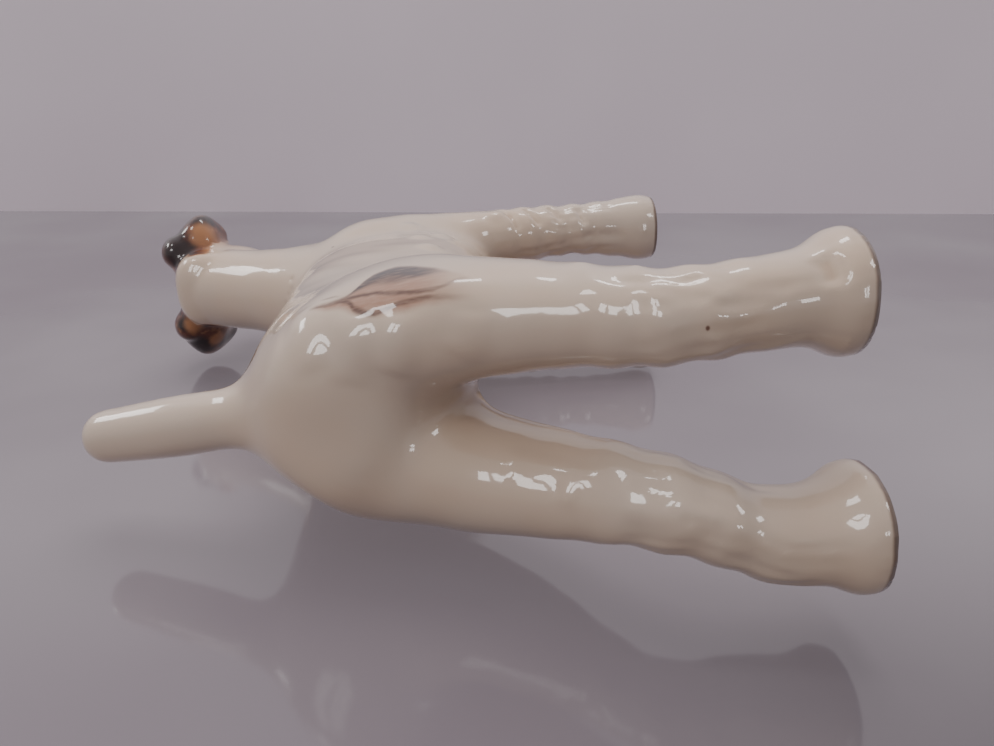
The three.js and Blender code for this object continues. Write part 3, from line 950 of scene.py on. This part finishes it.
# The painted patch on the right haunch: its upper tip, and its directions down, forwards and
# outwards, all measured
PATCH_TIP = (-63.63, -19.62, 90.7)
PATCH_DOWN = (-0.357, -0.112, -0.927)
PATCH_FORWARDS = (0.776, -0.589, -0.228)
PATCH_OUTWARDS = (-0.52, -0.80, 0.30)

# Its length, and the least and greatest place forwards of its lines. Each line is a list of places down from
# the tip and forwards of it: the edges, the start of the dark wedge and the two veins. They are measured and
# then adjusted, and their ends are given.
PATCH_LENGTH = 34.0
PATCH_LEAST = -6.0
PATCH_MOST = 14.0
PATCH_REAR_EDGE = (
    (0, -2.8), (2.7, -3.4), (7.1, -3.9), (10.4, -5.2), (14.4, -5.9), (18.1, -5.5), (22.2, -4.2), (34, -1.4),
)
PATCH_FRONT_EDGE = (
    (0, -2.2), (5, -1.6), (7.1, -0.3), (8.8, 3.4), (11.1, 7.2), (14.7, 8.6), (21.2, 7.0), (26, 5), (34, 1),
)
PATCH_WEDGE = (
    (0, -1.5), (7, -1.2), (9, 0.6), (11, 1.5), (14.4, 1.4), (17.2, 1.8), (20.9, 3.5), (26, 4.6), (34, 5),
)
PATCH_UPPER_VEIN = (
    (0, -2.4), (8.2, -1.0), (13.1, -0.6), (18, -1.0), (23.3, -0.4), (25.6, 1.0), (28.5, 3.4), (34, 5),
)
PATCH_LOWER_VEIN = (
    (0, -2.8), (7.4, -1.9), (10.2, -4.3), (13.4, -5.3), (16.1, -4.6), (18.7, -3.5), (22, -2.4), (25.3, -1.8),
    (34, -1.2),
)

# Brush strokes that run out of the patch at its upper tip: start, end and half width
PATCH_TAILS = (
    ((-67.2, -20.0, 92.6), (-69.3, -21.6, 85.0), 0.6),
    ((-65.6, -21.6, 90.6), (-67.6, -22.6, 85.2), 0.5),
)

# Specks of kiln dust, measured, and their radii
SPECKS = ((42.5, -17.6, 125.0), (20.6, -19.4, 100.4))
SPECK_RADII = (0.45, 0.6, 0.45)
RED_SPECK = (-90.3, -18.3, 26.6)
RED_SPECK_RADII = (0.32, 0.45, 0.32)


def patch_paint(shader, place, base, settings):
    """The haunch patch: a pink wash, brown brush strokes over it and a dark wedge at its front."""
    wavering = shader.wavering(place, 0.25, 1.2)
    away = shader.vector("SUBTRACT", wavering, PATCH_TIP)
    down = shader.vector("DOT_PRODUCT", away, PATCH_DOWN)
    across = shader.vector("DOT_PRODUCT", away, PATCH_FORWARDS)
    outward = shader.vector("DOT_PRODUCT", away, PATCH_OUTWARDS)

    def line_at(stops):
        return shader.curve(down, PATCH_LENGTH, stops, PATCH_LEAST, PATCH_MOST)

    def stroke_along(stops, width):
        aside = shader.math("ABSOLUTE", shader.math("SUBTRACT", across, line_at(stops)))
        return shader.ramp(aside, width, width * 0.1)

    started = shader.ramp(down, -0.5, 3.0)
    ended = shader.ramp(down, PATCH_LENGTH - 2, PATCH_LENGTH - 15)
    within = shader.both(started, ended, shader.ramp(outward, -20.0, -15.0))
    streaks = shader.noise(shader.vector("MULTIPLY", place, (1.6, 1.6, 0.25)), 0.9, 4)
    from_rear = shader.ramp(shader.math("SUBTRACT", across, line_at(PATCH_REAR_EDGE)), -0.8, 1.2)
    inside_front = shader.math("SUBTRACT", line_at(PATCH_FRONT_EDGE), across)
    from_front = shader.ramp(inside_front, -0.9, 0.8)
    wash = shader.both(from_rear, from_front, within, shader.ramp(streaks, 0.15, 0.7, 0.75, 1.0))
    painted = shader.mix(wash, base, colour(settings.patch_pale))
    past_wedge = shader.ramp(shader.math("SUBTRACT", across, line_at(PATCH_WEDGE)), -0.2, 1.6)
    streaky = shader.ramp(streaks, 0.28, 0.6, 0.7, 1.0)
    wedge = shader.both(past_wedge, shader.ramp(down, 28.0, 18.0), from_front, within, streaky)
    at_edge = shader.ramp(inside_front, 5.0, 2.0)
    tone = shader.mix(at_edge, colour(settings.patch_dark), colour(settings.patch_grey))
    thinner = shader.math("MULTIPLY", wedge, shader.ramp(inside_front, 7.0, 3.0, 0.7, 0.98))
    painted = shader.mix(thinner, painted, tone)
    veins = shader.either(stroke_along(PATCH_UPPER_VEIN, 1.0), stroke_along(PATCH_LOWER_VEIN, 1.05))
    veins = shader.both(veins, within, from_front, shader.ramp(streaks, 0.2, 0.6, 0.5, 0.85))
    painted = shader.mix(veins, painted, colour(settings.patch_dark))
    tails = shader.either(*[shader.brushed(wavering, *tail) for tail in PATCH_TAILS])
    return shader.mix(shader.math("MULTIPLY", tails, 0.45), painted, colour(settings.patch_dark))


def speck_paint(shader, place, base, settings):
    """Specks of kiln dust, one of them red."""
    specks = shader.either(*[shader.blot(place, speck, SPECK_RADII, 0.3) for speck in SPECKS])
    dusty = shader.mix(shader.math("MULTIPLY", specks, 0.75), base, colour(settings.patch_grey))
    red = shader.blot(place, RED_SPECK, RED_SPECK_RADII, 0.5)
    return shader.mix(shader.math("MULTIPLY", red, 0.85), dusty, colour(settings.ear_brown))


# Ear painting: places and radii of the darkest paint and of the thin orange paint
EAR_DARK = (
    ((50.5, -17.0, 155.0), (6.0, 5.5, 5.5)),
    ((56.0, -21.5, 157.5), (8.0, 6.0, 4.0)),
    ((62.0, -24.5, 149.0), (5.0, 2.2, 5.0)),
    ((57.2, 16.5, 156.0), (7.5, 4.5, 5.5)),
    ((66.0, 15.0, 147.5), (6.5, 5.0, 5.0)),
    ((49.0, 7.0, 157.5), (4.0, 3.5, 4.0)),
)
EAR_CRESTS = ((58.5, -15.4, 157.0), (58.5, 9.0, 157.0))
EAR_ORANGE = (
    ((56.6, -21.5, 147.5), (4.5, 4.0, 4.2)),
    ((54.0, -15.5, 143.8), (6.0, 3.5, 3.5)),
    ((51.5, 7.5, 154.0), (4.0, 3.2, 3.0)),
    ((58.0, 15.0, 148.5), (3.2, 3.0, 2.6)),
    ((45.5, -14.0, 149.0), (3.5, 3.5, 4.0)),
)


def ear_paint(shader, place, base, settings):
    """Black and red-brown on the ears, thinning to orange where it fades into the glaze."""
    wavering = shader.wavering(place, 0.16, 3.0)
    from_back = shader.vector("SUBTRACT", wavering, (SKULL_BACK / MM)[:])
    out = shader.math("ABSOLUTE", shader.vector("DOT_PRODUCT", from_back, (-HEAD_TURN, 1, 0)))
    height = shader.vector("DOT_PRODUCT", wavering, (0, 0, 1))
    ahead = shader.vector("DOT_PRODUCT", from_back, (1, HEAD_TURN, 0))
    flap = shader.both(
        shader.ramp(out, 14.2, 15.6), shader.ramp(height, 139, 141), shader.ramp(ahead, -9, -7),
    )
    root = shader.both(
        shader.ramp(out, 10.2, 13.4), shader.ramp(height, 143, 147.5), shader.ramp(ahead, -5.5, -0.5),
        shader.ramp(ahead, 29, 24),
    )
    crests = [shader.blot(wavering, centre, (10.5, 8.0, 7.4), 0.12) for centre in EAR_CRESTS]
    cover = shader.either(flap, root, *crests)
    dark = shader.either(*[shader.blot(wavering, centre, radii, 0.35) for centre, radii in EAR_DARK])
    thin = shader.either(*[shader.blot(wavering, centre, radii, 0.45) for centre, radii in EAR_ORANGE])
    drift = shader.noise(place, 0.30, 5)
    lighter = shader.ramp(drift, 0.56, 0.74, 0, 0.7)
    brown = shader.mix(lighter, colour(settings.ear_brown), colour(settings.ear_orange))
    brown = shader.mix(shader.ramp(drift, 0.46, 0.32, 0, 0.8), brown, colour(settings.ear_black))
    painted = shader.mix(shader.math("MULTIPLY", dark, 0.92), brown, colour(settings.ear_black))
    painted = shader.mix(shader.math("MULTIPLY", thin, 0.85), painted, colour(settings.ear_orange))
    painted = shader.mix(shader.ramp(cover, 0.75, 0.25, 0, 0.9), painted, colour(settings.ear_orange))
    return shader.mix(shader.ramp(cover, 0.1, 0.6), base, painted)


# Painted spots of the face, in millimetres
EYE_SPOTS = tuple((head_spot(47.6, side * 9.4, 150.9) / MM)[:] for side in (-1, 1))
BROW_SPOTS = tuple((head_spot(43, side * 9.5, 157) / MM)[:] for side in (-1, 1))
CHEEK_SPOTS = tuple((head_spot(32, side * 14, 142) / MM)[:] for side in (-1, 1))
NOSE_SPOT = (head_spot(72.6, 0, 148.1) / MM)[:]


def face_paint(shader, place, base, settings):
    """Tan on the brows and cheeks, black eyes and a black nose."""
    wavering = shader.wavering(place, 0.3, 1.6)
    tan = shader.either(
        *[shader.blot(wavering, centre, (7, 3.4, 3.0), 0.7) for centre in BROW_SPOTS],
        *[shader.blot(wavering, centre, (7, 4.5, 5.0), 0.8) for centre in CHEEK_SPOTS],
    )
    warmed = shader.mix(shader.math("MULTIPLY", tan, 0.55), base, colour(settings.ear_orange))
    black = shader.either(
        shader.blot(wavering, NOSE_SPOT, (4.4, 5.2, 4.0), 0.12),
        *[shader.blot(place, centre, (2.5, 2.2, 2.2), 0.15) for centre in EYE_SPOTS],
    )
    return shader.mix(black, warmed, colour(settings.ear_black))


GLASS_IOR = 1.5


def porcelain(settings):
    """Glazed porcelain with its painting, and painted shade in the hollows of its coat."""
    shader = Shader("porcelain")
    place = shader.place()
    cloud = shader.noise(place, 0.03, 4)
    base = shader.mix(shader.ramp(cloud, 0.35, 0.65), colour(settings.glaze), colour(settings.cool))
    # Painted shade: the hollows of the coat are darkened towards a browner white.
    hollow = shader.ramp(shader.kept("hollow"), 0.05, 0.75)
    base = shader.mix(shader.math("MULTIPLY", hollow, 0.9), base, colour(settings.painted_hollow_shade))
    base = patch_paint(shader, place, base, settings)
    base = speck_paint(shader, place, base, settings)
    base = ear_paint(shader, place, base, settings)
    base = face_paint(shader, place, base, settings)
    height = shader.vector("DOT_PRODUCT", shader.wavering(place, 0.2, 0.5), (0, 0, 1))
    bare = shader.ramp(height, 1.3, 0.5)
    bump = shader.tree.nodes.new("ShaderNodeBump")
    shader.settle(bump, {"Strength": 0.15, "Distance": 0.35 * MM, "Height": shader.noise(place, 0.16, 2)})
    shader.settle(shader.surface, {
        "Base Color": shader.mix(bare, base, colour(settings.bare)),
        "Roughness": shader.math("MULTIPLY_ADD", bare, 0.4, 0.3),
        "IOR": GLASS_IOR,
        "Specular IOR Level": 0.15,
        "Coat Weight": 1.0,
        "Coat Roughness": settings.coat_roughness,
        "Coat IOR": GLASS_IOR,
        "Coat Normal": bump.outputs["Normal"],
    })
    return shader.material


def glaze_material(context):
    """The one porcelain material, made when it is first asked for."""
    return bpy.data.materials.get("porcelain") or porcelain(context.scene.figurine_glaze)


class FIGURINE_OT_torso(bpy.types.Operator):
    """Cut the torso free of the neck, the tail and the four legs"""

    bl_idname = "figurine.torso"
    bl_label = "Torso"

    def execute(self, context):
        cuts = [
            (NECK_SEAM, -NECK_LEAN, in_front),
            (Vector((0, 0, TAIL_SEAM)), DOWN, behind),
            (Vector((0, 0, FRONT_SEAM)), UP, in_front),
            (Vector((0, 0, HIND_SEAM)), UP, behind),
        ]
        piece = casting("torso", cuts, glaze_material(context))
        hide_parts("torso_casting")
        return {"FINISHED"}


class FIGURINE_OT_head(bpy.types.Operator):
    """Cut the head and neck free at the shoulders and at the ears"""

    bl_idname = "figurine.head"
    bl_label = "Head and neck"

    def execute(self, context):
        cuts = [(NECK_SEAM, NECK_LEAN)]
        for side in (-1, 1):
            place, outward = ear_plane(side)
            cuts.append((place, -outward, above_jaw))
        piece = casting("head_and_neck", cuts, glaze_material(context))
        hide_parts("head_neck_casting")
        return {"FINISHED"}


class FIGURINE_OT_ears(bpy.types.Operator):
    """Cut the two folded ears off the skull"""

    bl_idname = "figurine.ears"
    bl_label = "Ears"

    def execute(self, context):
        for name, side in (("right_ear", -1), ("left_ear", 1)):
            place, outward = ear_plane(side)
            cuts = [(NECK_SEAM, NECK_LEAN), (Vector((0, 0, EAR_FLOOR)), UP), (place, outward)]
            piece = casting(name + "_flap", cuts, glaze_material(context))
            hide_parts(name)
        return {"FINISHED"}


class FIGURINE_OT_tail(bpy.types.Operator):
    """Cut the docked tail off the croup"""

    bl_idname = "figurine.tail"
    bl_label = "Tail"

    def execute(self, context):
        cuts = [(Vector((0, 0, TAIL_SEAM)), UP), (MIDDLE, BACKWARDS)]
        piece = casting("docked_tail", cuts, glaze_material(context))
        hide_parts("tail")
        return {"FINISHED"}


def cut_legs(context, pair, seam, lengthwise):
    """The right and left leg of a pair, below their seam."""
    for side, across in (("right", RIGHTWARDS), ("left", LEFTWARDS)):
        cuts = [(Vector((0, 0, seam)), DOWN), (MIDDLE, lengthwise), (MIDDLE, across)]
        piece = casting(f"{side}_{pair}_limb", cuts, glaze_material(context))
        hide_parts(f"{side}_{pair}_leg")


class FIGURINE_OT_front_legs(bpy.types.Operator):
    """Cut the two front legs off below the elbows"""

    bl_idname = "figurine.front_legs"
    bl_label = "Front legs"

    def execute(self, context):
        cut_legs(context, "front", FRONT_SEAM, FORWARDS)
        return {"FINISHED"}


class FIGURINE_OT_hind_legs(bpy.types.Operator):
    """Cut the two hind legs off below the thighs"""

    bl_idname = "figurine.hind_legs"
    bl_label = "Hind legs"

    def execute(self, context):
        cut_legs(context, "hind", HIND_SEAM, BACKWARDS)
        return {"FINISHED"}


# The dog lies on its left side, and the camera looks along its back from behind and from its right.
# Another program fitted the camera, the table's slope and the wall's foot to the photograph.
CAMERA_PLACE = spot(-205.2, -49.56, 64.71)
CAMERA_AIM = spot(-14.66, 10.67, 56.55)
CAMERA_UP = Vector((0.2982, -0.9523, -0.0655))
LENS = 28.0
SENSOR_WIDTH = 36.0
TABLE_UP = Vector((-0.0228, -0.9984, -0.052)).normalized()
TABLE_CLEARANCE = 0.05 * MM
WALL_FOOT = spot(490.6, 20.9, 27.4)
WALL_DROP = 0.05
TABLE_SIZE = 1.6
WALL_SIZE = 2.4
GLOW_GAP = 0.002
DOG_MIDDLE = spot(0, 0, 70)


def turned(forward, up):
    """The rotation of a camera or a lamp that looks forward with a side up."""
    right = forward.cross(up).normalized()
    over = right.cross(forward).normalized()
    return Matrix((right, over, -forward.normalized())).transposed()


def sheet(name, middle, facing, along, size, material):
    """A flat square that faces one way."""
    bm = bmesh.new()
    bmesh.ops.create_grid(bm, x_segments=1, y_segments=1, size=size / 2)
    side = along.cross(facing).normalized()
    basis = Matrix((side.cross(facing).normalized(), side, facing)).transposed().to_4x4()
    bmesh.ops.transform(bm, matrix=Matrix.Translation(middle) @ basis, verts=bm.verts)
    for face in bm.faces:
        face.normal_update()
        if face.normal.dot(facing) < 0:
            face.normal_flip()
    mesh = bpy.data.meshes.new(name)
    bm.to_mesh(mesh)
    bm.free()
    mesh.materials.append(material)
    panel = bpy.data.objects.new(name, mesh)
    bpy.context.scene.collection.objects.link(panel)
    panel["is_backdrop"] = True
    return panel


def one_sided(shader, front):
    """Wires a stage surface so that it is seen from its front only."""
    clear = shader.tree.nodes.new("ShaderNodeBsdfTransparent")
    geometry = shader.tree.nodes.new("ShaderNodeNewGeometry")
    chosen = shader.tree.nodes.new("ShaderNodeMixShader")
    shader.settle(chosen, {0: geometry.outputs["Backfacing"], 1: front, 2: clear.outputs["BSDF"]})
    shader.wire(chosen.outputs["Shader"], shader.tree.nodes["Material Output"].inputs["Surface"])
    return shader.material


# Painted light: the glow of the table top, which lifts its shade; then the light that the room shows in it low
# down and high up
TABLE_PAINTED_GLOW = (0.32, 0.28, 0.31)
LOW_GLOW = (0.32, 0.28, 0.312)
HIGH_GLOW = (0.84, 0.784, 0.816)


def table_material(tint, across, level):
    """Glossy laminate, with painted shade that makes it a little darker near the camera and on its right, and a
    painted glow that lifts its shade.
    """
    shader = Shader("table_top")
    place = shader.place()
    cloud = shader.noise(place, 0.006, 3)
    lit = shader.mix(shader.ramp(cloud, 0.3, 0.7, 0, 0.1), colour(tint), (1, 1, 1, 1))
    # Painted shade: the top darkens towards the camera and towards its right.
    near = shader.ramp(shader.vector("DOT_PRODUCT", place, level[:]), -20, -170)
    right = shader.ramp(shader.vector("DOT_PRODUCT", place, across[:]), -90, 60)
    dark = shader.math("MULTIPLY", near, shader.math("MULTIPLY_ADD", right, 0.85, 0.1))
    shader.settle(shader.surface, {
        "Base Color": shader.mix(dark, lit, colour([channel * 0.3 for channel in tint])),
        "Roughness": 0.5,
        "Specular IOR Level": 0.0,
        "Coat Weight": 1.0,
        "Coat Roughness": 0.09,
        "Coat IOR": GLASS_IOR,
        # Painted light: the table top glows, less where its painted shade lies.
        "Emission Color": colour(TABLE_PAINTED_GLOW),
        "Emission Strength": shader.math("MULTIPLY_ADD", dark, -0.36, 0.40),
    })
    return one_sided(shader, shader.surface.outputs["BSDF"])


def wall_material(tint):
    """Matt wall paint."""
    shader = Shader("wall_paint")
    cloud = shader.noise(shader.place(), 0.004, 3)
    paler = [min(1.0, channel * 1.06) for channel in tint]
    mottled = shader.mix(shader.ramp(cloud, 0.3, 0.7), colour(tint), colour(paler))
    shader.settle(shader.surface, {"Base Color": mottled, "Roughness": 0.8})
    return one_sided(shader, shader.surface.outputs["BSDF"])


def glow_material(foot):
    """The light of the room that the table mirrors, dim near the wall's foot and bright above."""
    shader = Shader("room_glow")
    rise = shader.vector("DOT_PRODUCT", shader.vector("SUBTRACT", shader.place(), foot[:]), TABLE_UP[:])
    glow = shader.tree.nodes.new("ShaderNodeEmission")
    tone = shader.mix(shader.ramp(rise, 30, 380), colour(LOW_GLOW), colour(HIGH_GLOW))
    shader.wire(tone, glow.inputs["Color"])
    return one_sided(shader, glow.outputs["Emission"])


def lamp(name, place, aim, width, height, brightness):
    """A rectangular light whose surface has a brightness, whatever its size."""
    data = bpy.data.lights.new(name, "AREA")
    data.shape = "RECTANGLE"
    data.size = width
    data.size_y = height
    data.energy = brightness * math.pi * width * height
    data.color = LAMP_COLOUR
    light = bpy.data.objects.new(name, data)
    light.matrix_world = Matrix.Translation(place) @ turned((aim - place).normalized(), TABLE_UP).to_4x4()
    light.visible_camera = False
    bpy.context.scene.collection.objects.link(light)
    return light


def direction(level, across, bearing, elevation):
    """A direction from the dog: a bearing from straight behind the camera, and an elevation."""
    flat = across * math.sin(bearing) - level * math.cos(bearing)
    return flat * math.cos(elevation) + TABLE_UP * math.sin(elevation)


# Windows round the dog: bearing to the camera's right and elevation in degrees, width and height in
# metres, and whether they light the glaze's body or only show in its gloss
WINDOWS = (
    (-45, 34, 0.15, 0.36, True), (-31, 34, 0.15, 0.36, True),
    (24, 12, 0.08, 0.14, False), (31, 12, 0.08, 0.14, False),
    (62, 42, 0.22, 0.20, False),
    (-104, 34, 0.34, 0.16, True), (-84, 58, 0.20, 0.12, False),
    (176, 62, 0.26, 0.20, True),
)
CEILING_SIZE = 0.9
CEILING_PLACE = (1.0, 0.45)
BOUNCE_SIZE = 1.0
BOUNCE_DEPTH = 0.9
LAMP_COLOUR = (1.0, 0.97, 0.96)
SKY_COLOUR = (0.80, 0.765, 0.79)


def lay_table(settings, level, across):
    """The table, which the dog's lowest point touches, and the wall at its far edge."""
    lowest = min(
        (piece.matrix_world @ vert.co).dot(TABLE_UP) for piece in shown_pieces() for vert in piece.data.vertices
    )
    table_middle = WALL_FOOT - level * TABLE_SIZE / 2
    table_middle += TABLE_UP * (lowest - TABLE_CLEARANCE - table_middle.dot(TABLE_UP))
    top = table_material(settings.table, across, level)
    table = sheet("table", table_middle, TABLE_UP, level, TABLE_SIZE, top)
    wall_middle = WALL_FOOT + TABLE_UP * (WALL_SIZE / 2 - WALL_DROP)
    wall = sheet("wall", wall_middle, -level, TABLE_UP, WALL_SIZE, wall_material(settings.wall))
    glow_middle = wall_middle - level * GLOW_GAP
    glow = sheet("room_glow", glow_middle, -level, TABLE_UP, WALL_SIZE, glow_material(WALL_FOOT / MM))
    glow.visible_camera = False
    glow.visible_diffuse = False
    for panel in (table, wall, glow):
        panel.visible_shadow = False


def hang_lights(context, settings, level, across):
    """The room's even light, the windows that the glaze mirrors, and soft light from above and below."""
    world = bpy.data.worlds.new("room")
    world.use_nodes = True
    background = world.node_tree.nodes["Background"]
    background.inputs["Color"].default_value = colour(SKY_COLOUR)
    background.inputs["Strength"].default_value = settings.sky
    context.scene.world = world
    figurine = bpy.data.collections.new("figurine")
    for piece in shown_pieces():
        figurine.objects.link(piece)
    lights = []
    for index, (bearing, elevation, width, height, soft) in enumerate(WINDOWS):
        way = direction(level, across, math.radians(bearing), math.radians(elevation))
        light = lamp(f"window_{index}", DOG_MIDDLE + way, DOG_MIDDLE, width, height, settings.windows)
        light.visible_diffuse = soft
        lights.append(light)
    above = DOG_MIDDLE + TABLE_UP * CEILING_PLACE[0] + level * CEILING_PLACE[1]
    ceiling = lamp("ceiling", above, DOG_MIDDLE, CEILING_SIZE, CEILING_SIZE, settings.ceiling)
    below = DOG_MIDDLE - TABLE_UP * BOUNCE_DEPTH
    bounce = lamp("bounce", below, DOG_MIDDLE + level * 0.01, BOUNCE_SIZE, BOUNCE_SIZE, settings.bounce)
    for light in (ceiling, bounce):
        light.visible_glossy = False
    for light in lights + [bounce]:
        light.light_linking.receiver_collection = figurine


class FIGURINE_OT_stage(bpy.types.Operator):
    """Lay the table, put up the wall, and place the camera and the lights"""

    bl_idname = "figurine.stage"
    bl_label = "Stage"

    def execute(self, context):
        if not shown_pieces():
            raise RuntimeError("make the pieces before the stage")
        settings = context.scene.figurine_stage
        away = CAMERA_AIM - CAMERA_PLACE
        level = (away - TABLE_UP * away.dot(TABLE_UP)).normalized()
        across = level.cross(TABLE_UP)
        lay_table(settings, level, across)
        camera_data = bpy.data.cameras.new("camera")
        camera_data.lens = LENS
        camera_data.sensor_width = SENSOR_WIDTH
        camera_data.clip_start = 0.01
        camera_data.clip_end = 20
        camera = bpy.data.objects.new("camera", camera_data)
        camera.matrix_world = Matrix.Translation(CAMERA_PLACE) @ turned(away, CAMERA_UP).to_4x4()
        context.scene.collection.objects.link(camera)
        context.scene.camera = camera
        hang_lights(context, settings, level, across)
        return {"FINISHED"}


class FIGURINE_PT_panel(bpy.types.Panel):
    """Builds the figurine piece by piece"""

    bl_idname = "FIGURINE_PT_panel"
    bl_label = "Porcelain terrier"
    bl_space_type = "VIEW_3D"
    bl_region_type = "UI"
    bl_category = "Figurine"

    def draw(self, context):
        layout = self.layout
        for settings in (
            context.scene.figurine_clay, context.scene.figurine_glaze, context.scene.figurine_stage,
        ):
            box = layout.box()
            for name in settings.bl_rna.properties.keys():
                if name not in ("rna_type", "name"):
                    box.prop(settings, name)
        for operator in OPERATORS:
            layout.operator(operator.bl_idname)


PROPERTIES = (ClayProperties, GlazeProperties, StageProperties)
OPERATORS = (
    FIGURINE_OT_clay, FIGURINE_OT_torso, FIGURINE_OT_head, FIGURINE_OT_ears, FIGURINE_OT_tail,
    FIGURINE_OT_front_legs, FIGURINE_OT_hind_legs, FIGURINE_OT_stage,
)
CLASSES = PROPERTIES + OPERATORS + (FIGURINE_PT_panel,)


def register():
    for item in CLASSES:
        bpy.utils.register_class(item)
    bpy.types.Scene.figurine_clay = PointerProperty(type=ClayProperties)
    bpy.types.Scene.figurine_glaze = PointerProperty(type=GlazeProperties)
    bpy.types.Scene.figurine_stage = PointerProperty(type=StageProperties)


def unregister():
    del bpy.types.Scene.figurine_clay
    del bpy.types.Scene.figurine_glaze
    del bpy.types.Scene.figurine_stage
    for item in reversed(CLASSES):
        bpy.utils.unregister_class(item)


def main():
    register()
    bpy.ops.figurine.clay()
    bpy.ops.figurine.torso()
    bpy.ops.figurine.head()
    bpy.ops.figurine.ears()
    bpy.ops.figurine.tail()
    bpy.ops.figurine.front_legs()
    bpy.ops.figurine.hind_legs()
    bpy.ops.figurine.stage()
    bpy.data.meshes.remove(bpy.data.meshes[FORM_NAME])


if __name__ == "__main__":
    main()
